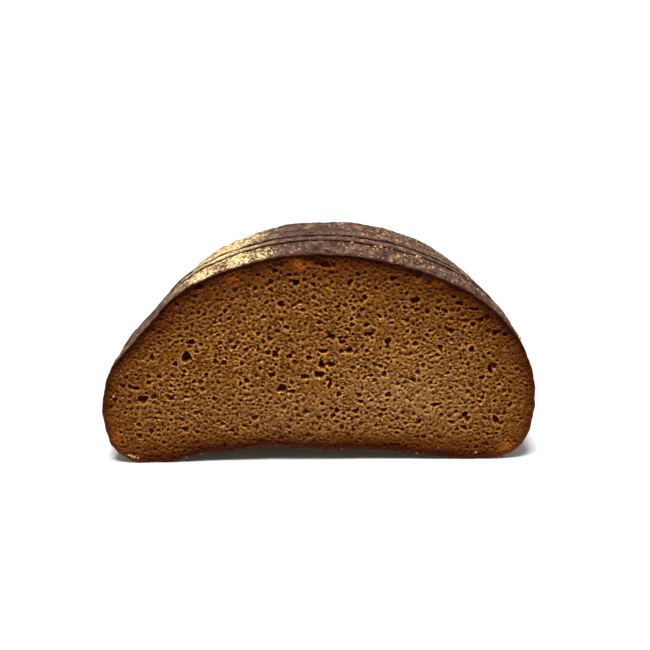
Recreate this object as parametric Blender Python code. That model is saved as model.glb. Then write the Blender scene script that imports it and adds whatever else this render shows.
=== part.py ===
"""A sliced hearth loaf of rye bread: four slices that still stand together.

The loaf runs along Y. Its front cut face looks towards -Y, its width runs along X, and it stands
on z = 0. Every slice is one solid, lofted between two flat cuts of the same domed cross-section.
"""

import math

import bmesh
import bpy
from mathutils import Vector

MM = 0.001

LOAF_WIDTH = 160 * MM
SLICE_COUNT = 4
SLICE_THICKNESS = 11 * MM
CUT_GAP = 0.6 * MM
LOAF_DEPTH = SLICE_COUNT * SLICE_THICKNESS + (SLICE_COUNT - 1) * CUT_GAP

RINGS_PER_SLICE = 4
STEPS_PER_SPAN = 4

# The cross-section's shape, as x and z in millimetres before it is fitted to LOAF_WIDTH, anticlockwise
# seen from the front. It starts at the left foot. The underside arches between two flat feet, and the
# right shoulder is fuller and lower than the left one.
LEFT_FOOT = ((-67, 0), (-57, 0))
RIGHT_FOOT = ((55, 0), (65, 0))
UNDERSIDE = ((-49, 1.8), (-38, 4.2), (-27, 4.9), (-17.5, 6), (-6, 4.8), (14, 4.5), (29, 3.3), (43, 1.5))
RIGHT_SIDE = ((71.5, 2.0), (77, 7), (79.6, 16), (80, 25), (77.6, 38), (72.4, 48.4), (64.5, 58))
DOME = ((53, 66.7), (38.5, 73.4), (21.5, 78.3), (3.5, 80.6), (-13, 80), (-28, 76.6), (-42, 71.4))
LEFT_SIDE = ((-53, 64), (-61.5, 54.5), (-70, 45), (-76.2, 37), (-79.2, 27), (-80, 18.5), (-77.8, 8), (-73, 2.4))

# How the loaf swells and then falls away from the front cut to the back one, at each cut in turn, as
# shares of the front cut's size: its height, and the reach of its left and right sides, which draw in
# more at the top of the dome than at the base. The left side draws in more than the right one, whose
# shoulder fills out a little more at each cut, by this share of its height.
HEIGHT_AT_CUTS = (1.0, 1.024, 1.0, 0.988, 0.988)
LEFT_BASE_AT_CUTS = (1.0, 0.998, 0.985, 0.968, 0.945)
LEFT_DOME_AT_CUTS = (1.0, 0.96, 0.955, 0.895, 0.845)
RIGHT_BASE_AT_CUTS = (1.0, 1.0, 0.99, 0.978, 0.962)
RIGHT_DOME_AT_CUTS = (1.0, 0.985, 0.97, 0.942, 0.907)
RIGHT_SHOULDER_AT_CUTS = (0.0, 0.007, 0.012, 0.018, 0.027)
DOME_HEIGHT = 80.6 * MM

CRUMB_COLOUR = (0.36, 0.20, 0.105, 1)
CRUMB_ROUGHNESS = 0.9


def smooth_run(before, points, after):
    """Points along a Catmull-Rom curve through the given ones, the last one left out."""
    chain = [Vector(p) for p in (before, *points, after)]
    run = []
    for p0, p1, p2, p3 in zip(chain, chain[1:], chain[2:], chain[3:]):
        for step in range(STEPS_PER_SPAN):
            t = step / STEPS_PER_SPAN
            along = p2 - p0
            curve = 2 * p0 - 5 * p1 + 4 * p2 - p3
            twist = 3 * (p1 - p2) + p3 - p0
            run.append((2 * p1 + along * t + curve * t**2 + twist * t**3) / 2)
    return run


def cross_section():
    """The loaf's outline as a closed loop of 2-D points in metres, with its two feet left straight."""
    left_out, left_in = LEFT_FOOT
    right_in, right_out = RIGHT_FOOT
    underside = smooth_run(left_out, (left_in, *UNDERSIDE, right_in), right_out)
    crust = smooth_run(right_in, (right_out, *RIGHT_SIDE, *DOME, *LEFT_SIDE, left_out), left_in)
    outline = underside + [Vector(right_in)] + crust + [Vector(left_out)]
    left = min(point.x for point in outline)
    right = max(point.x for point in outline)
    middle = (left + right) / 2
    size = LOAF_WIDTH / (right - left)
    return [Vector(((point.x - middle) * size, max(point.y, 0) * size)) for point in outline]


def at_depth(shares, depth):
    """A share of the front cut's size, read between the cuts at this depth behind the front one."""
    place = depth / LOAF_DEPTH * SLICE_COUNT
    cut = min(int(place), SLICE_COUNT - 1)
    return shares[cut] + (shares[cut + 1] - shares[cut]) * (place - cut)


def ring_at(outline, depth):
    """The cross-section at this depth, as 3-D points."""
    height = at_depth(HEIGHT_AT_CUTS, depth)
    shoulder = at_depth(RIGHT_SHOULDER_AT_CUTS, depth)
    left = (at_depth(LEFT_BASE_AT_CUTS, depth), at_depth(LEFT_DOME_AT_CUTS, depth))
    right = (at_depth(RIGHT_BASE_AT_CUTS, depth), at_depth(RIGHT_DOME_AT_CUTS, depth))
    ring = []
    for point in outline:
        rise = min(point.y / DOME_HEIGHT, 1)
        base, dome = left if point.x < 0 else right
        reach = base + (dome - base) * rise
        lift = 1 + shoulder * rise * math.sin(math.pi * max(point.x, 0) / (LOAF_WIDTH / 2))
        ring.append((point.x * reach, depth - LOAF_DEPTH / 2, point.y * height * lift))
    return ring


def crumb_material(name):
    material = bpy.data.materials.new(name)
    material.use_nodes = True
    surface = material.node_tree.nodes["Principled BSDF"]
    surface.inputs["Base Color"].default_value = CRUMB_COLOUR
    surface.inputs["Roughness"].default_value = CRUMB_ROUGHNESS
    surface.inputs["Metallic"].default_value = 0
    return material


def add_slice(number, outline):
    """One slice: a stack of cross-sections between its two cuts, closed by the flat cut faces."""
    front = (number - 1) * (SLICE_THICKNESS + CUT_GAP)
    mesh = bpy.data.meshes.new(f"slice_{number}")
    shape = bmesh.new()
    rings = []
    for step in range(RINGS_PER_SLICE):
        depth = front + SLICE_THICKNESS * step / (RINGS_PER_SLICE - 1)
        rings.append([shape.verts.new(point) for point in ring_at(outline, depth)])
    for ring, next_ring in zip(rings, rings[1:]):
        for i, vert in enumerate(ring):
            follower = (i + 1) % len(ring)
            wall = shape.faces.new((vert, ring[follower], next_ring[follower], next_ring[i]))
            wall.smooth = True
    shape.faces.new(rings[0])
    shape.faces.new(reversed(rings[-1]))
    bmesh.ops.recalc_face_normals(shape, faces=shape.faces)
    shape.to_mesh(mesh)
    shape.free()
    mesh.materials.append(crumb_material(f"rye_bread_{number}"))
    bread = bpy.data.objects.new(f"slice_{number}", mesh)
    bpy.context.scene.collection.objects.link(bread)


def main():
    for old in list(bpy.data.objects):
        bpy.data.objects.remove(old, do_unlink=True)
    outline = cross_section()
    for number in range(1, SLICE_COUNT + 1):
        add_slice(number, outline)


main()
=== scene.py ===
"""The rye loaf's looks: porous crumb, floured crust, loose crumbs, studio floor, lights and camera."""
import math

import bmesh
import bpy
import numpy as np
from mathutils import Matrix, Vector, geometry
from mathutils.bvhtree import BVHTree


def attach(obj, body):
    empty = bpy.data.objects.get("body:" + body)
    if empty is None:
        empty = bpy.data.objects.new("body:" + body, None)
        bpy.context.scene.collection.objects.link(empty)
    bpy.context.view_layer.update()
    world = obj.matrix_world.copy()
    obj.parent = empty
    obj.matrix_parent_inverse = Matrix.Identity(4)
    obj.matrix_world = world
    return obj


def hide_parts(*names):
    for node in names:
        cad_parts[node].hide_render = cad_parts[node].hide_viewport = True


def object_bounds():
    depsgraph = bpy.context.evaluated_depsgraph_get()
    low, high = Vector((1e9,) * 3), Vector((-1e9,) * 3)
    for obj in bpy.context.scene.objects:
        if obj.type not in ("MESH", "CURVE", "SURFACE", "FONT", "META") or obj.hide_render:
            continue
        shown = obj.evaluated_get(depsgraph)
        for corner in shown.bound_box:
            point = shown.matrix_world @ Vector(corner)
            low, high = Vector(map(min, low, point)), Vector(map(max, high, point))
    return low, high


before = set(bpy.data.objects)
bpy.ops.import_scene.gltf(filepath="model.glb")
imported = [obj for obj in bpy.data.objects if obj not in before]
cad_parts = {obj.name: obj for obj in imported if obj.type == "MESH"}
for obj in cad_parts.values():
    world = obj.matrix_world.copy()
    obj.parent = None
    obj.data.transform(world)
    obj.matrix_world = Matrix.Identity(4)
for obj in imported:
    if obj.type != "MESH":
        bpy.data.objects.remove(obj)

MM = 0.001
CAD_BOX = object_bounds()
SLICES = ("slice_1", "slice_2", "slice_3", "slice_4")

# How far each slice's crust is lifted off the CAD's form above its foot.
LIFT = (0.0, 0.05 * MM, 0.45 * MM, 0.1 * MM)

# The height of the hub that the outlines' angles and radii are taken about.
HUB_HEIGHT = 35 * MM

# The cell size of the raster that holds a cut face's relief, and the spacing of the crust's points.
RASTER = 0.16 * MM
CRUST_STEP = 0.58 * MM

# The deepest that a pore goes when it isn't a landmark, and the depth at which a pore's painted shade is at
# its darkest.
DEEPEST_PORE = 2.0 * MM
DARKEST_DEPTH = 2.8 * MM

# Of the points of a cut face that fall in one cell, this share of their spacing wide, the first is kept.
LEAST_SPACING = 0.48

# Edges between faces that meet at a wider angle than this are shaded sharp.
SHARP_ANGLE = math.radians(62)

# The order of a slice's two materials.
CRUMB_SLOT = 0
CRUST_SLOT = 1

# How a cut face is meshed: the step of the grid between its pores, the spacing of the points around a
# pore, and how many kinds of pore it has.
SHOWN_FACE = (0.62 * MM, 0.46 * MM, 4)
HIDDEN_FACE = (1.1 * MM, 0.7 * MM, 2)
SPARE_FACE = (1.6 * MM, 0.9 * MM, 1)


# ---------------------------------------------------------------- noise

def smooth_noise(points, scale, seed):
    """Soft value noise from -1 to 1 at these points, whose features are about one scale across."""
    table = np.random.default_rng(seed).random((32, 32, 32)) * 2 - 1
    place = np.asarray(points, float) / scale + 500.0
    if place.shape[-1] == 2:
        place = np.concatenate([place, np.full(place.shape[:-1] + (1,), 500.25)], -1)
    cell = np.floor(place).astype(int)
    part = place - cell
    part = part * part * (3 - 2 * part)
    total = np.zeros(place.shape[:-1])
    for dx in (0, 1):
        for dy in (0, 1):
            for dz in (0, 1):
                corner = (cell + (dx, dy, dz)) % 32
                share = np.ones(place.shape[:-1])
                for axis, step in enumerate((dx, dy, dz)):
                    share = share * (part[..., axis] if step else 1 - part[..., axis])
                total += share * table[corner[..., 0], corner[..., 1], corner[..., 2]]
    return total


def layered_noise(points, scale, seed, layers=3):
    """Noise with finer and weaker layers on top of the first one."""
    total = 0
    for layer in range(layers):
        total = total + smooth_noise(points, scale / 2.1**layer, seed + layer) / 2**layer
    return total / 1.5


def stretched(coarse, factor, shape):
    """A coarse grid of values read smoothly on a grid that is finer by this factor."""
    for axis, count in enumerate(shape):
        place = np.arange(count) / factor
        cell = np.minimum(place.astype(int), coarse.shape[axis] - 2)
        part = place - cell
        part = np.expand_dims(part, 1 - axis)
        coarse = np.take(coarse, cell, axis) * (1 - part) + np.take(coarse, cell + 1, axis) * part
    return coarse


def raster_noise(rng, shape, scale, layers):
    """Soft noise from about -1 to 1 over a raster, with finer layers on top of the first one."""
    total = np.zeros(shape)
    for layer in range(layers):
        factor = max(scale / 2.1**layer / RASTER, 1.01)
        grid = rng.uniform(-1, 1, [int(count / factor) + 4 for count in shape])
        weights = (grid + np.roll(grid, 1, 0) + np.roll(grid, 1, 1) + np.roll(grid, (1, 1), (0, 1))) / 2
        total += stretched(weights, factor, shape) / 2**layer
    return total / 1.5


def blurred(field, radius):
    """The field after two passes of a box blur, with this many cells each way."""
    for _ in range(2):
        for axis in (0, 1):
            padded = np.pad(field, [(radius + 1, radius) if a == axis else (0, 0) for a in (0, 1)], "edge")
            total = np.cumsum(padded, axis)
            size = 2 * radius + 1
            ahead = np.take(total, range(size, total.shape[axis]), axis)
            behind = np.take(total, range(total.shape[axis] - size), axis)
            field = (ahead - behind) / size
    return field


def smoothstep(low, high, value):
    """A soft step from 0 at low to 1 at high, which may be the lower number of the two."""
    share = np.clip((value - low) / (high - low), 0, 1)
    return share * share * (3 - 2 * share)


# ---------------------------------------------------------------- the slices' outlines

def cut_ring(node, pick):
    """Angle and radius, about the hub, of the CAD outline at the slice's front (min) or back (max) cut."""
    points = np.array([vertex.co[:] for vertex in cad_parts[node].data.vertices])
    level = pick(points[:, 1])
    ring = points[np.abs(points[:, 1] - level) < 0.01 * MM]
    across, up = ring[:, 0], ring[:, 2] - HUB_HEIGHT
    angle = np.arctan2(up, across)
    order = np.argsort(angle)
    return level, angle[order], np.hypot(across, up)[order]


def ring_points(angles, ring):
    """The outline at these angles, as x and z."""
    level, ring_angle, ring_radius = ring
    radius = np.interp(angles, ring_angle, ring_radius, period=2 * math.pi)
    return np.stack([radius * np.cos(angles), HUB_HEIGHT + radius * np.sin(angles)], -1)


def even_angles(ring, step):
    """Angles at which the outline's points stand evenly spaced along it."""
    dense = np.linspace(-math.pi, math.pi, 6001)
    points = ring_points(dense, ring)
    along = np.concatenate([[0], np.cumsum(np.linalg.norm(np.diff(points, axis=0), axis=1))])
    count = round(along[-1] / step)
    return np.interp(np.arange(count) / count * along[-1], along, dense)


def distance_to(points, line):
    """Each point's distance to the nearest point of a closed line."""
    nearest = np.full(len(points), np.inf)
    for start in range(0, len(points), 4000):
        block = points[start:start + 4000]
        gaps = block[:, None, :] - line[None, :, :]
        nearest[start:start + 4000] = np.sqrt((gaps**2).sum(-1).min(1))
    return nearest


# ---------------------------------------------------------------- the crumb's pores

# Pores that stand out on the front face: x and z from the middle of the base, then half-width,
# half-height, tilt in degrees and depth, with lengths in millimetres.
LANDMARK_PORES = (
    (2.1, 76.5, 2.1, 1.2, -5, 3.4), (-8.2, 69.9, 1.2, 1.4, 15, 3.6), (-15.6, 74.5, 1.2, 0.9, 20, 2.6),
    (-21.6, 73.0, 1.0, 0.8, 0, 2.6), (-17.1, 70.4, 0.8, 1.3, -8, 3.0), (34.3, 62.8, 1.9, 1.2, -8, 4.2),
    (26.2, 71.1, 1.4, 0.9, 5, 2.6), (-48.1, 41.9, 1.9, 1.9, 40, 3.8), (-46.3, 47.6, 1.9, 0.9, 10, 3.0),
    (-64.7, 25.4, 1.8, 1.7, 35, 3.6), (-67.0, 29.8, 1.5, 0.8, -8, 2.6), (-60.6, 41.9, 0.9, 1.3, 0, 3.0),
    (-62.2, 32.0, 1.0, 0.9, 20, 2.8), (-58.4, 34.4, 1.0, 0.8, 5, 2.4), (-52.3, 39.3, 1.1, 1.0, 25, 2.8),
    (-49.0, 36.2, 0.9, 0.8, 0, 2.6), (-41.2, 34.9, 0.7, 1.1, -15, 2.6), (-48.9, 26.2, 1.5, 0.6, 0, 2.4),
    (-54.2, 25.6, 1.4, 0.8, 20, 2.2), (-42.6, 68.4, 1.9, 0.8, 18, 2.8), (-50.7, 62.1, 1.0, 0.8, 0, 2.4),
    (-30.7, 45.5, 1.2, 0.8, 25, 2.6), (-13.6, 62.0, 1.3, 1.2, 0, 3.2), (16.3, 64.2, 1.0, 1.1, 0, 2.8),
    (6.5, 60.7, 1.1, 0.7, -15, 2.8), (11.6, 56.0, 0.6, 0.8, 0, 3.0), (4.4, 49.3, 1.9, 1.1, 0, 2.2),
    (18.6, 50.2, 1.3, 0.8, 15, 2.4), (8.4, 47.2, 1.4, 0.9, 0, 2.2), (24.9, 47.3, 1.3, 1.5, 0, 1.8),
    (1.5, 43.7, 1.7, 0.9, 0, 2.4), (10.8, 43.9, 1.8, 1.0, 0, 2.8), (-10.8, 41.9, 1.4, 1.0, 15, 2.4),
    (-16.0, 42.6, 1.2, 1.5, 0, 2.0), (-3.8, 41.2, 1.1, 1.1, 30, 2.8), (0.9, 38.4, 1.3, 1.6, 15, 3.0),
    (4.3, 38.5, 1.8, 1.1, 0, 2.6), (0.0, 34.6, 2.2, 1.2, 0, 3.0), (-5.3, 33.8, 1.9, 1.0, 5, 2.2),
    (18.8, 34.0, 1.1, 0.7, 10, 2.8), (-17.4, 34.7, 1.4, 1.3, 0, 2.6), (-13.7, 29.2, 1.9, 1.7, 0, 2.6),
    (3.9, 30.6, 0.8, 2.2, -15, 2.2), (7.2, 26.6, 1.0, 0.9, 0, 3.0), (1.0, 23.0, 0.9, 0.9, 0, 2.8),
    (6.5, 20.2, 1.0, 1.2, 0, 2.8), (15.3, 23.7, 1.0, 0.9, 0, 2.6), (55.5, 43.8, 1.0, 1.4, 35, 3.6),
    (62.5, 35.9, 0.8, 2.0, 12, 3.4), (66.1, 29.9, 0.8, 0.8, 0, 3.0), (59.7, 32.8, 1.3, 1.0, 0, 2.6),
    (54.0, 18.0, 1.2, 1.2, 0, 3.8), (65.6, 15.8, 0.9, 2.2, 25, 3.6), (43.1, 22.2, 2.0, 0.8, 8, 2.6),
    (67.3, 49.5, 0.9, 0.9, 0, 3.0), (45.6, 58.7, 0.7, 0.9, 30, 3.0), (48.2, 63.9, 0.9, 0.6, 0, 3.0),
    (50.3, 61.7, 1.6, 0.9, 0, 2.8), (56.0, 59.3, 1.8, 0.6, -10, 3.0), (58.4, 55.4, 1.1, 0.9, 0, 3.0),
    (60.6, 56.2, 1.1, 1.2, 0, 2.6), (47.6, 51.2, 1.6, 1.1, 0, 2.2), (55.6, 53.6, 1.2, 0.8, -20, 2.6),
    (63.6, 50.1, 1.0, 1.4, 25, 2.4), (43.9, 44.9, 1.1, 1.1, 0, 2.6), (35.3, 71.9, 1.3, 1.6, 0, 1.6),
)

# Kinds of pore from the widest to the narrowest: how many are thrown, their least and most radius,
# and the wall that each keeps to its neighbours, in millimetres.
PORE_KINDS = (
    (240, 0.95, 1.3, 0.3),
    (2300, 0.64, 0.98, 0.18),
    (5200, 0.44, 0.64, 0.16),
    (20000, 0.26, 0.44, 0.12),
)


def lean_of_grain(x, half_width):
    """How far the pores tilt off level at this x: they stand up towards the loaf's two ends."""
    reach = np.clip((abs(x) / half_width - 0.7) / 0.22, 0, 1)
    return math.radians(60) * reach * np.sign(x)


def scatter_pores(rng, half_width, height, gap_at, kinds):
    """Places and radii of pores thrown at random, none closer to another than its walls allow."""
    kept = []
    grid = {}
    cell = 3 * MM
    for count, low, high, wall in kinds:
        radii = np.sort(low + (high - low) * rng.random(count) ** 1.4)[::-1] * MM
        xs = rng.uniform(-half_width, half_width, count)
        zs = rng.uniform(0, height, count)
        gaps = gap_at(np.stack([xs, zs], -1))
        chances = rng.random(count)
        sparse = layered_noise(np.stack([xs, zs], -1), 8 * MM, 170, 2) * rng.random(count) > 0.12
        for x, z, radius, gap, chance, skip in zip(xs, zs, radii, gaps, chances, sparse):
            if skip or gap < 0.3 * MM + radius or radius > gap * 0.3 + 0.15 * MM:
                continue
            if radius > 0.5 * MM and chance > gap / (11 * MM) + 0.1:
                continue
            column, row = int(x // cell), int(z // cell)
            close = [p for i in (-1, 0, 1) for j in (-1, 0, 1) for p in grid.get((column + i, row + j), ())]
            if any(math.hypot(x - p[0], z - p[1]) < radius + p[2] * 0.95 + wall * MM for p in close):
                continue
            grid.setdefault((column, row), []).append((x, z, radius))
            kept.append((x, z, radius))
    return kept


def pore_edge(turn, lobes):
    """How far a pore's uneven rim reaches at this angle, as a share of its oval."""
    waves = ((2, 0.10), (3, 0.12), (4, 0.08), (6, 0.05))
    return 1 + sum(share * np.sin(times * turn + lobe) for (times, share), lobe in zip(waves, lobes))


class CutFace:
    """The relief of one cut face, held on a fine raster: how deep each point lies behind the cut."""

    def __init__(self, outline, seed, landmarks, spacing, kinds):
        self.outline = outline
        self.low = outline.min(0) - 1.5 * MM
        size = outline.max(0) + 1.5 * MM - self.low
        self.shape = tuple(np.ceil(size / RASTER).astype(int))
        self.rng = np.random.default_rng(seed)
        self.spacing = spacing
        self.x = self.low[0] + np.arange(self.shape[0]) * RASTER
        self.z = self.low[1] + np.arange(self.shape[1]) * RASTER
        self.edge = self.distance_inside()
        self.depth = np.zeros(self.shape)
        self.ring_spots = []
        for x, z, wide, high, tilt, deep in landmarks:
            self.dig(x * MM, z * MM, wide * MM, high * MM, math.radians(tilt), deep * MM)
        named = blurred(self.depth, 2)
        half_width, height = self.x[-1], self.z[-1]
        pores = scatter_pores(self.rng, half_width, height, self.gap_at, PORE_KINDS[:kinds])
        taken = self.read(named, np.array([pore[:2] for pore in pores])) > 0.15 * MM
        for (x, z, radius), skip in zip(pores, taken):
            if skip:
                continue
            stretch = 1 + 0.8 * self.rng.random() ** 2
            tilt = lean_of_grain(x, half_width) + self.rng.normal(0, 0.8)
            deep = radius * (0.5 + 1.3 * self.rng.random() ** 2) + 0.08 * MM
            wide, high = radius * math.sqrt(stretch), radius / math.sqrt(stretch)
            self.dig(x, z, wide, high, tilt, min(deep, DEEPEST_PORE))
        # How much painted shade each point of the crumb gets for its depth, full at DARKEST_DEPTH.
        self.pore_shade_and_scars = np.clip(self.depth / DARKEST_DEPTH, 0, 1)
        walls = (raster_noise(self.rng, self.shape, 0.8 * MM, 2) + 1) * 0.11 * MM
        walls += (raster_noise(self.rng, self.shape, 6 * MM, 2) + 1) * 0.12 * MM
        self.depth += walls
        # How far each point stands above the relief around it; the crumb's colour paints light and glints
        # on these raised walls.
        self.rim = np.clip((blurred(self.depth, 4) - self.depth) / (0.35 * MM), -1, 1)
        self.depth *= smoothstep(0, 0.8 * MM, self.edge)

    def gap_at(self, points):
        """How far these x and z points lie inside the outline."""
        return self.read(self.edge, points)

    def distance_inside(self):
        """How far each cell lies inside the outline, and below 0 outside it."""
        every = 4
        x, z = self.x[::every], self.z[::every]
        x = np.append(x, x[-1] + every * RASTER)
        z = np.append(z, z[-1] + every * RASTER)
        places = np.stack(np.meshgrid(x, z, indexing="ij"), -1)
        away = distance_to(places.reshape(-1, 2), self.outline).reshape(places.shape[:2])
        angle = np.arctan2(self.outline[:, 1] - HUB_HEIGHT, self.outline[:, 0])
        order = np.argsort(angle)
        reach = np.hypot(self.outline[:, 0], self.outline[:, 1] - HUB_HEIGHT)
        here = np.arctan2(places[..., 1] - HUB_HEIGHT, places[..., 0])
        limit = np.interp(here, angle[order], reach[order], period=2 * math.pi)
        inside = np.hypot(places[..., 0], places[..., 1] - HUB_HEIGHT) < limit
        return stretched(np.where(inside, away, -away), every, self.shape)

    def dig(self, x, z, wide, high, tilt, deep):
        """One pore: an uneven oval bowl with a steep wall, deeper towards one side."""
        lobes = self.rng.uniform(0, 2 * math.pi, 4)
        lean = self.rng.uniform(-0.35, 0.35, 2)
        steep = self.rng.uniform(1.8, 3.6)
        reach = max(wide, high) * 1.5
        i0, i1 = np.searchsorted(self.x, (x - reach, x + reach))
        j0, j1 = np.searchsorted(self.z, (z - reach, z + reach))
        window = (slice(i0, i1), slice(j0, j1))
        dx, dz = self.x[i0:i1, None] - x, self.z[None, j0:j1] - z
        u = (dx * math.cos(tilt) + dz * math.sin(tilt)) / wide
        v = (dz * math.cos(tilt) - dx * math.sin(tilt)) / high
        radial = np.minimum(np.hypot(u, v) / pore_edge(np.arctan2(v, u), lobes), 1)
        bowl = (1 - radial**steep) * deep * (1 + lean[0] * u + lean[1] * v)
        self.depth[window] = np.maximum(self.depth[window], bowl)
        around = int(np.clip(math.pi * (wide + high) / self.spacing, 5, 14))
        shares = (1.07, 0.9, 0.68, 0.34) if wide + high > 2.2 * MM else (1.06, 0.72, 0.1)
        for share in shares:
            count = around if share > 0.5 else max(int(around * share * 1.5), 1)
            turn = (np.arange(count) + self.rng.random()) * 2 * math.pi / count
            far = share * pore_edge(turn, lobes)
            u, v = far * np.cos(turn) * wide, far * np.sin(turn) * high
            across = x + u * math.cos(tilt) - v * math.sin(tilt)
            self.ring_spots.append(np.stack([across, z + u * math.sin(tilt) + v * math.cos(tilt)], -1))

    def read(self, field, points):
        """A raster field at these x and z points, read smoothly between cells."""
        place = np.clip((points - self.low) / RASTER, 0, np.array(self.shape) - 1.001)
        cell = place.astype(int)
        part = place - cell
        i, j = cell[:, 0], cell[:, 1]
        near = field[i, j] * (1 - part[:, 0]) + field[i + 1, j] * part[:, 0]
        far = field[i, j + 1] * (1 - part[:, 0]) + field[i + 1, j + 1] * part[:, 0]
        return near * (1 - part[:, 1]) + far * part[:, 1]

    def spots(self, step):
        """Where the mesh gets its points: rings down each pore, and an uneven grid between the pores."""
        low = self.outline.min(0)
        size = self.outline.max(0) - low
        i, j = np.meshgrid(*(np.arange(int(side / step) + 1) for side in size), indexing="ij")
        jitter = self.rng.uniform(-0.3, 0.3, i.shape + (2,))
        between = (low + (np.stack([i + 0.5 * (j % 2), j], -1) + jitter) * step).reshape(-1, 2)
        points = np.concatenate([*self.ring_spots, between])
        points = points[self.read(self.edge, points) > 0.3 * step + 0.1 * MM]
        cells = np.round(points / (LEAST_SPACING * self.spacing)).astype(int)
        _, first = np.unique(cells, axis=0, return_index=True)
        return points[np.sort(first)]


# ---------------------------------------------------------------- the slices' meshes

def outward(points):
    """Unit normals of a closed line that runs anticlockwise."""
    along = np.roll(points, -1, 0) - np.roll(points, 1, 0)
    normal = np.stack([along[:, 1], -along[:, 0]], -1)
    return normal / np.linalg.norm(normal, axis=1, keepdims=True)


def crust_relief(places, height):
    """How far the baked crust stands out of the CAD's smooth form: dents, blisters, grain and cracks."""
    dents = 0.3 * MM * layered_noise(places, 14 * MM, 100, 2)
    bumps = 0.32 * MM * layered_noise(places, 3.6 * MM, 110, 2)
    grain = 0.21 * MM * layered_noise(places, 1.4 * MM, 120, 2)
    line = np.abs(layered_noise(places * (1, 0.55, 1), 8 * MM, 130, 3))
    cracks = smoothstep(0.035, 0.0, line) * smoothstep(0.35, 0.6, height)
    scars = np.zeros(len(places))
    for x, y, size in BLEMISHES:
        off = (places[:, 0] / MM - x) ** 2 + (places[:, 1] / MM - y) ** 2
        scars += np.exp(-off / size**2) * smoothstep(0.5, 0.7, height)
    return dents + bumps + grain - 0.2 * MM * cracks - 0.5 * MM * scars, 0.6 * cracks + scars


def crust_rows(front, back, step, lift):
    """The crust between two cuts, as rows of points from the front cut to the back one, and its scars."""
    angles = even_angles(front, step)
    near, far = ring_points(angles, front), ring_points(angles, back)
    thickness = back[0] - front[0]
    count = round(thickness / step)
    top = CAD_BOX[1][2]
    rows, scars = [], []
    for row in range(count + 1):
        share = row / count
        flat = near + (far - near) * share
        places = np.stack([flat[:, 0], np.full(len(flat), front[0] + thickness * share), flat[:, 1]], -1)
        relief, scar = crust_relief(places, places[:, 2] / top)
        relief += lift * smoothstep(2 * MM, 14 * MM, flat[:, 1])
        torn = 1 + 0.8 * layered_noise(places, 1.6 * MM, 140, 2)
        relief -= torn * 0.22 * MM * max(0, 1 - thickness * share / (0.8 * MM)) ** 2
        relief -= torn * 0.4 * MM * max(0, 1 - thickness * (1 - share) / (1.2 * MM)) ** 2
        normal = outward(flat)
        places[:, 0] += normal[:, 0] * relief
        places[:, 2] = np.maximum(places[:, 2] + normal[:, 1] * relief, 0)
        rows.append(places)
        scars.append(scar)
    return rows, scars


def face_triangles(outline, points):
    """A triangulation of the outline and the points inside it, anticlockwise in x and z."""
    count = len(outline)
    flat = [Vector(p) for p in np.concatenate([outline, points]).tolist()]
    edges = [(i, (i + 1) % count) for i in range(count)]
    made = geometry.delaunay_2d_cdt(flat, edges, [], 1, 1e-9)
    assert len(made[0]) == len(flat)
    return np.array(made[2])


def crust_triangles(count, row_count):
    """The triangles between neighbouring rows of the crust, with this many points in each row."""
    index = np.arange(count)
    after = np.roll(index, -1)
    triangles = []
    for row in range(row_count - 1):
        a, b = index + row * count, after + row * count
        c, d = b + count, a + count
        triangles += [np.stack([a, b, c], -1), np.stack([a, c, d], -1)]
    return triangles


def shaded_mesh(name, points, triangles, slots):
    """A smooth-shaded mesh of these triangles, each with the number of its material."""
    mesh = bpy.data.meshes.new(name)
    mesh.vertices.add(len(points))
    mesh.vertices.foreach_set("co", points.ravel())
    mesh.loops.add(triangles.size)
    mesh.loops.foreach_set("vertex_index", triangles.ravel())
    mesh.polygons.add(len(triangles))
    mesh.polygons.foreach_set("loop_start", np.arange(0, triangles.size, 3))
    mesh.polygons.foreach_set("material_index", slots)
    mesh.update(calc_edges=True)
    mesh.validate()
    mesh.polygons.foreach_set("use_smooth", np.ones(len(triangles), bool))
    mesh.set_sharp_from_angle(angle=SHARP_ANGLE)
    return mesh


def slice_mesh(name, seed, plans, landmarks, lift):
    """A closed mesh of one slice: porous front and back faces joined by its crust.

    Its edge_mm is the distance from the crust on the cut faces, and below 0, from the cut, on the crust.
    """
    front, back = cut_ring(name, np.min), cut_ring(name, np.max)
    rows, scars = crust_rows(front, back, CRUST_STEP, lift)
    count = len(rows[0])
    points = [np.concatenate(rows)]
    behind = points[0][:, 1]
    edge = [-np.minimum(behind - front[0], back[0] - behind)]
    pore_shade_and_scars = [np.concatenate(scars)]
    rim = [np.zeros(len(points[0]))]
    triangles = crust_triangles(count, len(rows))
    slots = [np.full(2 * count * (len(rows) - 1), CRUST_SLOT)]
    start = count * len(rows)
    for side, row in (("front", 0), ("back", len(rows) - 1)):
        step, spacing, kinds = plans[side]
        outline = rows[row][:, [0, 2]]
        face = CutFace(outline, seed + row, landmarks if side == "front" else (), spacing, kinds)
        inner = face.spots(step)
        found = face_triangles(outline, inner)
        ring = found < count
        numbers = np.where(ring, found + row * count, found - count + start)
        if side == "back":
            numbers = numbers[:, ::-1]
        triangles.append(numbers)
        slots.append(np.full(len(numbers), CRUMB_SLOT))
        into = 1 if side == "front" else -1
        level = rows[row][0, 1] + into * face.read(face.depth, inner)
        points.append(np.stack([inner[:, 0], level, inner[:, 1]], -1))
        edge.append(face.read(face.edge, inner))
        pore_shade_and_scars.append(face.read(face.pore_shade_and_scars, inner))
        rim.append(face.read(face.rim, inner))
        start += len(inner)
    points = np.concatenate(points)
    mesh = shaded_mesh(name + "_bread", points, np.concatenate(triangles), np.concatenate(slots))
    edge = np.concatenate(edge) / MM
    layers = {"edge_mm": edge, "pore_shade_and_scars": np.concatenate(pore_shade_and_scars), "rim": np.concatenate(rim)}
    layers.update(stains_and_glow(points, edge))
    for title, values in layers.items():
        layer = mesh.attributes.new(title, "FLOAT", "POINT")
        layer.data.foreach_set("value", values)
    return mesh


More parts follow.
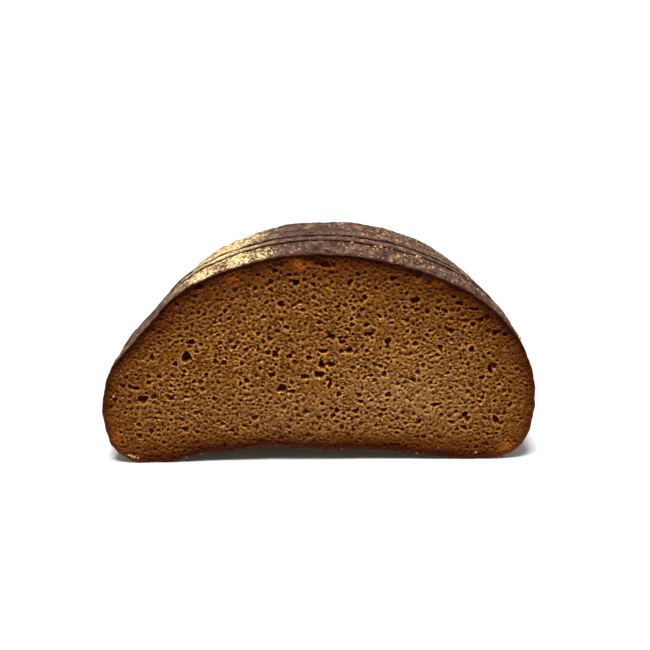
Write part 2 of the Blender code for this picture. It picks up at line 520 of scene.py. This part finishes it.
def stains_and_glow(points, edge):
    """How much pale crumb, painted glow of light through the crust, flour and bran there is at each point,
    by its place on the loaf.
    """
    # From here on lengths are in millimetres.
    x, y, z = points[:, 0] / MM, points[:, 1] / MM, points[:, 2] / MM
    pale = np.exp(-(((x - 30) / 26) ** 2) - ((z - 24) / 16) ** 2)
    pale = np.maximum(pale, 0.75 * np.exp(-(((x + 8) / 38) ** 2) - ((z - 17) / 11) ** 2))
    through_glow = np.zeros(len(points))
    for across, up, wide, high in GLOW_PATCHES:
        through_glow += np.exp(-(((x - across) / wide) ** 2) - ((z - up) / high) ** 2)
    through_glow = np.clip(through_glow * (0.8 + 0.8 * layered_noise(points, 2.5 * MM, 160, 2)), 0, 0.85)
    through_glow *= smoothstep(0.3, 1.1, edge)
    drift = 4 * layered_noise(points, 9 * MM, 150, 2)
    drift += 5 * layered_noise(points, 3 * MM, 152, 2)
    flour = smoothstep(2, -32, x + drift) * (0.5 + 0.5 * smoothstep(-60, -42, x + drift))
    flour *= smoothstep(24, 46, z + drift) * (0.8 + 0.35 * layered_noise(points, 7 * MM, 151, 2))
    flour = np.maximum(flour, 0.75 * smoothstep(1.6, 0.4, z) * smoothstep(-2.5, -0.4, edge))
    dusting = smoothstep(36, 56, x + drift) * smoothstep(8, 46, z + drift) * smoothstep(-26, -10, y)
    flour = np.maximum(flour, 0.54 * dusting)
    bran = 0.35 + 0.65 * np.exp(-(((x - 32) / 16) ** 2)) * smoothstep(40, 55, z)
    bran += 0.3 * smoothstep(-8, -30, x)
    warm = smoothstep(66, 22, z + drift) * (1 - smoothstep(14, 6, z) * smoothstep(72, 60, abs(x)))
    return {"pale": pale, "through_glow": through_glow, "flour": flour, "bran": bran, "warm": warm}


# ---------------------------------------------------------------- materials

def new_material(name):
    """A new material and its Principled surface."""
    material = bpy.data.materials.new(name)
    material.use_nodes = True
    return material, material.node_tree.nodes["Principled BSDF"]


class Wiring:
    """Short names for the nodes that the crumb, crust and loose bits are coloured with."""

    def __init__(self, material):
        self.tree = material.node_tree

    def node(self, kind, **settings):
        """A new shader node of this kind, with these settings."""
        made = self.tree.nodes.new("ShaderNode" + kind)
        for key, value in settings.items():
            setattr(made, key, value)
        return made

    def feed(self, socket, value):
        """Links another node's output to the socket, or sets the socket to a plain value."""
        if isinstance(value, bpy.types.NodeSocket):
            self.tree.links.new(value, socket)
        else:
            socket.default_value = value

    def place(self):
        """Each point's place in the object's own coordinates."""
        return self.node("TexCoord").outputs["Object"]

    def attribute(self, name):
        """A value that the mesh holds at each of its points."""
        return self.node("Attribute", attribute_name=name).outputs["Fac"]

    def noise(self, scale_mm, detail=3, roughness=0.55, seed=0.0, stretch=(1, 1, 1)):
        """Soft noise from 0 to 1, whose features are about this many millimetres across."""
        moved = self.node("Mapping")
        self.feed(moved.inputs["Vector"], self.place())
        moved.inputs["Location"].default_value = (seed, seed * 1.7, seed * 0.6)
        moved.inputs["Scale"].default_value = stretch
        noise = self.node("TexNoise")
        self.feed(noise.inputs["Vector"], moved.outputs["Vector"])
        noise.inputs["Scale"].default_value = 1 / (scale_mm * MM)
        noise.inputs["Detail"].default_value = detail
        noise.inputs["Roughness"].default_value = roughness
        return noise.outputs["Fac"]

    def spots(self, scale_mm, seed=0.0):
        """The distance to the nearest of many scattered spots, and that spot's own random colour."""
        moved = self.node("Mapping")
        self.feed(moved.inputs["Vector"], self.place())
        moved.inputs["Location"].default_value = (seed, seed * 0.4, seed * 1.3)
        cells = self.node("TexVoronoi")
        self.feed(cells.inputs["Vector"], moved.outputs["Vector"])
        cells.inputs["Scale"].default_value = 1 / (scale_mm * MM)
        return cells.outputs["Distance"], cells.outputs["Color"]

    def red(self, colour):
        """The red share of a colour, which serves as a random number."""
        parts = self.node("SeparateColor")
        self.feed(parts.inputs[0], colour)
        return parts.outputs[0]

    def ramp(self, value, low, high, start=0.0, end=1.0):
        """A straight run from start, where the value is low, to end, where it is high."""
        mapped = self.node("MapRange")
        self.feed(mapped.inputs["Value"], value)
        self.feed(mapped.inputs["From Min"], low)
        self.feed(mapped.inputs["From Max"], high)
        self.feed(mapped.inputs["To Min"], start)
        self.feed(mapped.inputs["To Max"], end)
        return mapped.outputs["Result"]

    def math(self, operation, a, b=0.0):
        """One step of arithmetic on two values."""
        node = self.node("Math", operation=operation)
        self.feed(node.inputs[0], a)
        self.feed(node.inputs[1], b)
        return node.outputs[0]

    def mix(self, share, a, b):
        """Colour a, with this share of colour b over it."""
        node = self.node("Mix", data_type="RGBA")
        self.feed(node.inputs["Factor"], share)
        self.feed(node.inputs["A"], a)
        self.feed(node.inputs["B"], b)
        return node.outputs["Result"]

    def bump(self, height, distance_mm, strength=1.0):
        """A surface direction that stands for a relief of this height."""
        node = self.node("Bump")
        self.feed(node.inputs["Height"], height)
        node.inputs["Distance"].default_value = distance_mm * MM
        node.inputs["Strength"].default_value = strength
        return node.outputs["Normal"]


# The bread's colours, as linear red, green, blue and alpha.
TAN = (0.210, 0.071, 0.007, 1)
LIGHT_TAN = (0.575, 0.278, 0.069, 1)
DEEP_TAN = (0.125, 0.033, 0.002, 1)
PALE_TAN = (0.475, 0.262, 0.098, 1)
# The colour of painted glints on the crumb's walls and on the crust.
GLINT_CREAM = (0.85, 0.62, 0.34, 1)
# Painted shade inside the crumb's pores and fine pits.
PORE_SHADE_BROWN = (0.050, 0.0095, 0.0005, 1)
RED_BROWN = (0.034, 0.006, 0.002, 1)
WARM_BROWN = (0.090, 0.020, 0.003, 1)
# The colour of the painted glow where light shines through the crust at the cut face's edge.
GLOW_AMBER = (0.46, 0.12, 0.010, 1)
BRICK = (0.085, 0.020, 0.0035, 1)
CRUST_BLACK = (0.009, 0.0026, 0.0015, 1)
CRUST_BROWN = (0.036, 0.011, 0.005, 1)
CRUST_GREY = (0.084, 0.047, 0.032, 1)
CRUST_TAN = (0.20, 0.108, 0.052, 1)
CRUST_WARM = (0.125, 0.040, 0.010, 1)
FLOUR = (0.92, 0.66, 0.31, 1)
BRAN = (0.46, 0.26, 0.10, 1)
RUST = (0.062, 0.013, 0.0035, 1)

# Where light through the crust is painted as an amber glow at the front face's edge: x and z of each
# patch, and its half-width and half-height, in millimetres.
GLOW_PATCHES = (
    (-31.5, 73.8, 3.4, 2.6), (-6.5, 77.8, 3.0, 3.0), (44.0, 71.0, 5.5, 2.0), (-77, 8, 3, 6.0),
    (72, 3.4, 4, 2.4),
)

# Dark scars on the top crust: x and y, and their radius, in millimetres.
BLEMISHES = (
    (-2.6, 5.0, 1.7), (-1.0, -19.0, 2.2), (41.6, -19.8, 0.9), (3.5, -20.5, 1.2), (24, -16, 1.2),
    (-52, 4, 1.6),
)


def crumb_material():
    """Tan crumb and a red-brown rind, with painted shade in its pores and pits, painted light and glints on
    its walls, and a painted amber glow near the crust.
    """
    material, surface = new_material("rye_crumb")
    w = Wiring(material)
    pore_shade_and_scars, rim, edge = w.attribute("pore_shade_and_scars"), w.attribute("rim"), w.attribute("edge_mm")
    tone = w.noise(11, 2, seed=3.0)
    mottle = w.noise(0.85, 3, 0.7, seed=1.0)
    colour = w.mix(w.ramp(mottle, 0.5, 0.62, 0.0, 0.75), TAN, LIGHT_TAN)
    colour = w.mix(w.ramp(mottle, 0.49, 0.38, 0.0, 0.95), colour, DEEP_TAN)
    colour = w.mix(w.ramp(tone, 0.38, 0.62, 0.0, 0.4), colour, DEEP_TAN)
    pale = w.math("MULTIPLY", w.attribute("pale"), w.ramp(mottle, 0.4, 0.58, 0.1, 0.8))
    colour = w.mix(pale, colour, PALE_TAN)
    # Painted light: the raised walls between the pores are lighter.
    colour = w.mix(w.ramp(rim, 0.1, 0.8, 0.0, 0.7), colour, LIGHT_TAN)
    # Fine pits: small spots of painted shade for tiny pores, also dented into the bump below.
    pit, shade = w.spots(1.15, seed=9.0)
    pit = w.math("ADD", pit, w.ramp(mottle, 0.35, 0.65, -0.12, 0.12))
    pitted = w.math("MULTIPLY", w.ramp(pit, 0.36, 0.2), w.ramp(w.red(shade), 0.3, 0.5))
    colour = w.mix(w.math("MULTIPLY", pitted, 0.85), colour, PORE_SHADE_BROWN)
    # Painted glints: cream specks on the raised walls of the crumb.
    near, shade = w.spots(0.8, seed=7.0)
    crumb_glint = w.math("MULTIPLY", w.math("LESS_THAN", near, 0.3), w.math("GREATER_THAN", w.red(shade), 0.73))
    colour = w.mix(w.math("MULTIPLY", crumb_glint, w.ramp(rim, -0.2, 0.5, 0.0, 0.85)), colour, GLINT_CREAM)
    # Painted shade in the pores: darker the deeper each point lies.
    colour = w.mix(w.ramp(pore_shade_and_scars, 0.02, 0.14, 0.0, 0.85), colour, DEEP_TAN)
    colour = w.mix(w.ramp(pore_shade_and_scars, 0.14, 1.0, 0.0, 0.9), colour, PORE_SHADE_BROWN)
    wobble = w.math("ADD", edge, w.ramp(w.noise(4, 2, seed=5.0), 0.3, 0.7, -0.8, 0.8))
    warm = w.attribute("warm")
    colour = w.mix(w.ramp(edge, 22, 2, 0.0, w.ramp(warm, 0, 1, 0.82, 0.5)), colour, DEEP_TAN)
    colour = w.mix(w.ramp(wobble, w.ramp(warm, 0, 1, 9.5, 5.0), 1.5, 0.0, 0.82), colour, WARM_BROWN)
    # Painted glow of light through the crust near the cut face's edge.
    colour = w.mix(w.attribute("through_glow"), colour, GLOW_AMBER)
    rind = w.mix(warm, RED_BROWN, BRICK)
    colour = w.mix(w.ramp(wobble, w.ramp(warm, 0, 1, 3.6, 2.3), 0.9), colour, rind)
    w.feed(surface.inputs["Base Color"], colour)
    w.feed(surface.inputs["Roughness"], w.ramp(mottle, 0.3, 0.7, 0.5, 0.75))
    surface.inputs["Specular IOR Level"].default_value = 0.04
    relief = w.math("SUBTRACT", w.noise(0.9, 3, 0.7, seed=2.0), w.math("MULTIPLY", pitted, 0.35))
    w.feed(surface.inputs["Normal"], w.bump(relief, 0.6, 0.95))
    return material


def crust_material():
    """Dark baked crust with blotches, bran flecks, painted glints, drifts of flour, and a red-brown band at
    the cuts that is partly painted shade.
    """
    material, surface = new_material("rye_crust")
    w = Wiring(material)
    edge, scar = w.attribute("edge_mm"), w.attribute("pore_shade_and_scars")
    along = (1, 0.5, 1)
    patch = w.noise(6, 4, 0.65, seed=4.0)
    grain = w.noise(1.2, 4, 0.75, seed=6.0, stretch=along)
    blotch = w.noise(2.4, 3, 0.65, seed=12.0, stretch=along)
    colour = w.mix(w.ramp(patch, 0.42, 0.58), CRUST_BROWN, CRUST_GREY)
    colour = w.mix(w.math("MULTIPLY", w.attribute("warm"), 0.8), colour, CRUST_WARM)
    colour = w.mix(w.ramp(blotch, 0.54, 0.64, 0.0, 0.85), colour, CRUST_TAN)
    colour = w.mix(w.ramp(blotch, 0.49, 0.39, 0.0, 0.9), colour, RUST)
    colour = w.mix(w.ramp(grain, 0.5, 0.4, 0.0, 0.95), colour, CRUST_BLACK)
    colour = w.mix(w.ramp(grain, 0.56, 0.64, 0.0, 0.7), colour, CRUST_TAN)
    for size, seed, share in ((1.0, 2.0, 0.30), (2.3, 15.0, 0.24)):
        near, shade = w.spots(size, seed=seed)
        reach = w.math("ADD", near, w.ramp(grain, 0.3, 0.7, 0.15, -0.15))
        rare = w.math("GREATER_THAN", w.math("MULTIPLY", w.red(shade), w.attribute("bran")), 0.42)
        fleck = w.math("MULTIPLY", w.math("LESS_THAN", reach, share), rare)
        colour = w.mix(w.math("MULTIPLY", fleck, 0.7), colour, BRAN)
    # Painted glints: rare cream spots on the crust.
    near, shade = w.spots(1.3, seed=23.0)
    glint = w.math("MULTIPLY", w.math("LESS_THAN", near, 0.22), w.math("GREATER_THAN", w.red(shade), 0.9))
    colour = w.mix(w.math("MULTIPLY", glint, 0.8), colour, GLINT_CREAM)
    threshold = w.math("SUBTRACT", 0.72, w.math("MULTIPLY", w.attribute("flour"), 0.27))
    flour = w.ramp(w.math("SUBTRACT", w.noise(1.1, 4, 0.8, seed=8.0), threshold), -0.01, 0.04)
    colour = w.mix(flour, colour, FLOUR)
    colour = w.mix(w.ramp(scar, 0.1, 0.8, 0.0, 0.9), colour, CRUST_BLACK)
    # A dark red-brown band along each cut: partly the torn crust's own colour, partly painted shade of the
    # gaps between slices.
    torn = w.math("ADD", edge, w.ramp(blotch, 0.35, 0.65, -0.4, 0.4))
    colour = w.mix(w.ramp(torn, -1.5, -0.4, 0.0, 0.9), colour, RED_BROWN)
    w.feed(surface.inputs["Base Color"], colour)
    w.feed(surface.inputs["Roughness"], w.ramp(grain, 0.3, 0.7, 0.42, 0.7))
    surface.inputs["Specular IOR Level"].default_value = 0.08
    w.feed(surface.inputs["Normal"], w.bump(grain, 1.1, 1.0))
    return material


def bit_material():
    """Tan and brown crumbs, each of a slightly different shade."""
    material, surface = new_material("bread_crumb_bits")
    w = Wiring(material)
    mottle = w.noise(0.6, 3, 0.6, seed=1.5)
    tint = w.noise(5, 1, seed=20.0)
    colour = w.mix(w.ramp(tint, 0.42, 0.6), LIGHT_TAN, TAN)
    colour = w.mix(w.ramp(mottle, 0.55, 0.35, 0.0, 0.8), colour, WARM_BROWN)
    w.feed(surface.inputs["Base Color"], colour)
    surface.inputs["Roughness"].default_value = 0.7
    w.feed(surface.inputs["Normal"], w.bump(mottle, 0.15, 0.8))
    return material


# ---------------------------------------------------------------- pieces

# Loose bits of crumb, in millimetres: on the top crust as x, y and radius, on the cut face as x, z and
# radius, and on the right side as y, z and radius.
BITS_ON_TOP = (
    (35.5, -13.0, 0.85), (36.6, -12.6, 0.6), (12.0, -12.6, 0.7), (20.5, -12.8, 0.55), (22.5, -12.5, 0.7),
    (24.6, -12.9, 0.6), (26.6, -12.4, 0.5), (31.0, -14.5, 0.6), (28.5, -17.0, 0.5), (33.2, -18.6, 0.5),
    (-4.0, -16.0, 0.35), (-9.0, -18.0, 0.4), (17.0, 4.0, 0.7), (30.0, 6.5, 0.7), (7.5, -20.0, 0.4),
)
BITS_ON_FACE = (
    (-70.9, 3.0, 0.7), (-69.9, 2.3, 0.8), (-68.8, 1.9, 0.7), (-67.6, 1.6, 0.6), (-75.3, 26.8, 0.6),
    (44.5, 4.6, 0.5), (58.7, 2.4, 0.5), (-31.0, 19.6, 0.4), (-55.0, 18.0, 0.35), (62.0, 44.6, 0.4),
    (14.0, 42.4, 0.4),
)
BITS_ON_SIDE = ((-21.5, 47.5, 0.75), (-20.5, 58.8, 0.55), (-16.0, 38.0, 0.4), (-8.0, 52.0, 0.5))

# Where bits hang along the front face's bottom edge: the first x, the x that they stop before and the
# step, in millimetres.
BOTTOM_EDGE = (-70, 68, 1.9)

# How far from the loaf's middle a ray starts that finds where a bit lands, in metres.
RAY_START = 0.2


def add_slices():
    """Makes the four slices of bread in the places of the CAD ones, and gives back their meshes."""
    crumb, crust = crumb_material(), crust_material()
    plans = {
        "slice_1": {"front": SHOWN_FACE, "back": SPARE_FACE},
        "slice_2": {"front": HIDDEN_FACE, "back": HIDDEN_FACE},
        "slice_3": {"front": HIDDEN_FACE, "back": HIDDEN_FACE},
        "slice_4": {"front": SPARE_FACE, "back": SHOWN_FACE},
    }
    meshes = []
    for number, name in enumerate(SLICES):
        landmarks = LANDMARK_PORES if number == 0 else ()
        mesh = slice_mesh(name, 1000 * (number + 1), plans[name], landmarks, LIFT[number])
        mesh.materials.append(crumb)
        mesh.materials.append(crust)
        piece = bpy.data.objects.new(f"bread_{name}", mesh)
        bpy.context.scene.collection.objects.link(piece)
        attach(piece, "root")
        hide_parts(name)
        meshes.append(mesh)
    return meshes


def surface_of(mesh):
    """A search tree of the mesh, for finding where something lands on it."""
    points = [vertex.co for vertex in mesh.vertices]
    return BVHTree.FromPolygons(points, [polygon.vertices[:] for polygon in mesh.polygons])


def bit_places(slices):
    """Where loose bits of crumb lie: a place on the bread and a radius for each."""
    rng = np.random.default_rng(77)
    places = []
    front = surface_of(slices[0])
    third = surface_of(slices[2])
    rays = [((x * MM, y * MM, RAY_START), (0, 0, -1), radius) for x, y, radius in BITS_ON_TOP]
    rays += [((x * MM, -RAY_START, z * MM), (0, 1, 0), radius) for x, z, radius in BITS_ON_FACE]
    rays += [((RAY_START, y * MM, z * MM), (-1, 0, 0), radius) for y, z, radius in BITS_ON_SIDE]
    for start, direction, radius in rays:
        start, direction = Vector(start), Vector(direction)
        hit = front.ray_cast(start, direction)[0] or third.ray_cast(start, direction)[0]
        if hit:
            places.append((hit, radius * MM))
    for place in np.arange(*BOTTOM_EDGE):
        x = (place + rng.uniform(-0.8, 0.8)) * MM
        hit = front.ray_cast(Vector((x, CAD_BOX[0][1] + 0.5 * MM, -0.01)), Vector((0, 0, 1)))[0]
        radius = rng.uniform(0.16, 0.42) * MM
        if hit and hit.z > 0.5 * MM:
            places.append((hit + Vector((0, rng.uniform(-0.4, 0.4) * MM, 0)), radius))
    return places


def add_bits(slices):
    """Loose bits of crumb that cling to the crust, to the cut face and along its bottom edge."""
    rng = np.random.default_rng(78)
    shape = bmesh.new()
    for place, radius in bit_places(slices):
        made = bmesh.ops.create_icosphere(shape, subdivisions=2, radius=radius)
        stretch = rng.uniform(0.45, 1.25, 3)
        for vert in made["verts"]:
            swell = 0.9 + 0.6 * smooth_noise(np.array([vert.co + place]), radius * 0.8, 79)[0]
            vert.co = Vector(vert.co * swell) * Vector(stretch) + place
    mesh = bpy.data.meshes.new("loose_bits")
    shape.to_mesh(mesh)
    shape.free()
    mesh.materials.append(bit_material())
    mesh.shade_smooth()
    piece = bpy.data.objects.new("loose_bits", mesh)
    bpy.context.scene.collection.objects.link(piece)
    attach(piece, "root")


# ---------------------------------------------------------------- studio

# The camera's turn to the side and its height as angles, its distance from the aim, and its lens.
CAMERA_AZIMUTH = math.radians(-1.5)
CAMERA_ELEVATION = math.radians(20)
CAMERA_DISTANCE = 0.4641
CAMERA_LENS = 67.7
AIM = Vector((0.00268, 0, 0.04565))

FLOOR_HALF = 3.0
FLOOR_GREY = 0.46
FLOOR_DROP = 0.2 * MM
BACKDROP_RADIUS = FLOOR_HALF * 0.95
BACKDROP_GLOW = 1.2
WORLD_GLOW = 0.03

# The suns: where each shines from, its strength, how wide it looks in degrees, and its colour.
WHITE = (1, 1, 1)
SUNS = {
    "overhead": ((-0.08, -0.29, 0.95), 6.6, 18, WHITE),
    "front_fill": ((0.05, -0.95, 0.31), 0.75, 24, (1, 0.80, 0.58)),
    "back_fill": ((0.1, 0.80, 0.60), 1.5, 50, WHITE),
    "left_fill": ((-0.85, -0.1, 0.53), 1.0, 40, WHITE),
    "right_fill": ((0.85, -0.1, 0.53), 1.0, 40, WHITE),
}


def add_floor():
    """A plain floor just under the loaf. It sends no light back up, so that the crust stays dark below."""
    mesh = bpy.data.meshes.new("studio_floor")
    half = FLOOR_HALF
    corners = [(-half, -half, 0), (half, -half, 0), (half, half, 0), (-half, half, 0)]
    mesh.from_pydata(corners, [], [(0, 1, 2, 3)])
    material, surface = new_material("studio_white")
    surface.inputs["Base Color"].default_value = (FLOOR_GREY, FLOOR_GREY, FLOOR_GREY, 1)
    surface.inputs["Roughness"].default_value = 0.9
    mesh.materials.append(material)
    floor = bpy.data.objects.new("studio_floor", mesh)
    bpy.context.scene.collection.objects.link(floor)
    floor.location.z = CAD_BOX[0][2] - FLOOR_DROP
    floor.visible_diffuse = False


def add_sun(name, source, strength, angle, colour):
    """Soft parallel light that comes from this direction."""
    lamp = bpy.data.lights.new(name, "SUN")
    lamp.energy = strength
    lamp.angle = math.radians(angle)
    lamp.color = colour
    light = bpy.data.objects.new(name, lamp)
    light.rotation_euler = Vector(source).to_track_quat("Z", "Y").to_euler()
    bpy.context.scene.collection.objects.link(light)


def add_camera():
    """A camera that looks at the front cut face from a little above and to the left."""
    lens = bpy.data.cameras.new("camera")
    lens.lens = CAMERA_LENS
    lens.sensor_width = 36
    lens.clip_start = 0.01
    camera = bpy.data.objects.new("camera", lens)
    level = math.cos(CAMERA_ELEVATION)
    across, back = math.sin(CAMERA_AZIMUTH), -math.cos(CAMERA_AZIMUTH)
    away = Vector((across * level, back * level, math.sin(CAMERA_ELEVATION)))
    camera.location = AIM + away * CAMERA_DISTANCE
    camera.rotation_euler = away.to_track_quat("Z", "Y").to_euler()
    bpy.context.scene.collection.objects.link(camera)
    bpy.context.scene.camera = camera


def add_backdrop():
    """A white dome round the studio, which the camera sees and which neither lights nor shades anything."""
    shape = bmesh.new()
    bmesh.ops.create_uvsphere(shape, u_segments=32, v_segments=16, radius=BACKDROP_RADIUS)
    mesh = bpy.data.meshes.new("studio_backdrop")
    shape.to_mesh(mesh)
    shape.free()
    material, surface = new_material("backdrop_white")
    surface.inputs["Base Color"].default_value = (0, 0, 0, 1)
    surface.inputs["Specular IOR Level"].default_value = 0
    surface.inputs["Emission Color"].default_value = (1, 1, 1, 1)
    surface.inputs["Emission Strength"].default_value = BACKDROP_GLOW
    mesh.materials.append(material)
    backdrop = bpy.data.objects.new("studio_backdrop", mesh)
    bpy.context.scene.collection.objects.link(backdrop)
    backdrop.visible_diffuse = False
    backdrop.visible_glossy = False
    backdrop.visible_shadow = False


def add_world():
    """Faint even light from all round, and plain display colours."""
    world = bpy.data.worlds.new("studio")
    world.use_nodes = True
    background = world.node_tree.nodes["Background"]
    background.inputs["Color"].default_value = (1, 1, 1, 1)
    background.inputs["Strength"].default_value = WORLD_GLOW
    bpy.context.scene.world = world
    bpy.context.scene.view_settings.view_transform = "Standard"


add_camera()
add_world()
add_floor()
add_backdrop()
for sun, (source, strength, angle, colour) in SUNS.items():
    add_sun(sun, source, strength, angle, colour)
add_bits(add_slices())
